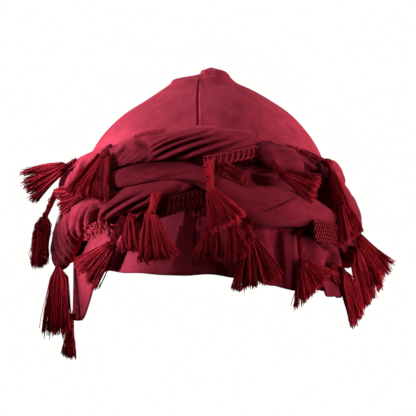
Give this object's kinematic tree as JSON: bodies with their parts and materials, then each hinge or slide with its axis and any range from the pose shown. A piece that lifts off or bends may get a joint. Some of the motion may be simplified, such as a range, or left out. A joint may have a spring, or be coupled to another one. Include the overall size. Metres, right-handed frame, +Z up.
{
  "type": "turban",
  "caption": "Ready-tied head wrap: soft seamed cap with a peak, a twisted scarf laid round it, netted scarf edges with yarn tassels and a draped tail at one temple.",
  "frame": {"origin": "middle of the head opening, level with the hem at the forehead", "axes": "+Z up through the peak, the forehead towards -Y, +X towards the temple with the draped tail"},
  "size_m": [0.2343, 0.2437, 0.1793],
  "materials": {
    "cap_cloth": "matt woven cotton with a soft bloom",
    "scarf_cloth": "matt soft woven cloth in loose folds",
    "net_cord": "knotted twisted cord",
    "tassel_yarn": "lustrous cut yarn"
  },
  "bodies": {
    "root": {"cap": "cap_cloth", "strand_lower": "scarf_cloth", "strand_middle": "scarf_cloth", "strand_upper": "scarf_cloth", "scarf_tail": "scarf_cloth", "net_upper": "net_cord", "net_front": "net_cord", "net_right": "net_cord", "net_left": "net_cord", "tassel_01": "tassel_yarn", "tassel_02": "tassel_yarn", "tassel_03": "tassel_yarn", "tassel_04": "tassel_yarn", "tassel_05": "tassel_yarn", "tassel_06": "tassel_yarn", "tassel_07": "tassel_yarn", "tassel_08": "tassel_yarn", "tassel_09": "tassel_yarn", "tassel_10": "tassel_yarn", "tassel_11": "tassel_yarn", "tassel_12": "tassel_yarn", "tassel_13": "tassel_yarn", "tassel_14": "tassel_yarn", "tassel_15": "tassel_yarn", "tassel_16": "tassel_yarn", "tassel_17": "tassel_yarn", "tassel_18": "tassel_yarn", "tassel_19": "tassel_yarn", "tassel_20": "tassel_yarn", "tassel_21": "tassel_yarn", "tassel_22": "tassel_yarn", "tassel_23": "tassel_yarn", "tassel_24": "tassel_yarn", "tassel_25": "tassel_yarn", "tassel_26": "tassel_yarn", "tassel_27": "tassel_yarn", "tassel_28": "tassel_yarn"}
  },
  "joints": []
}
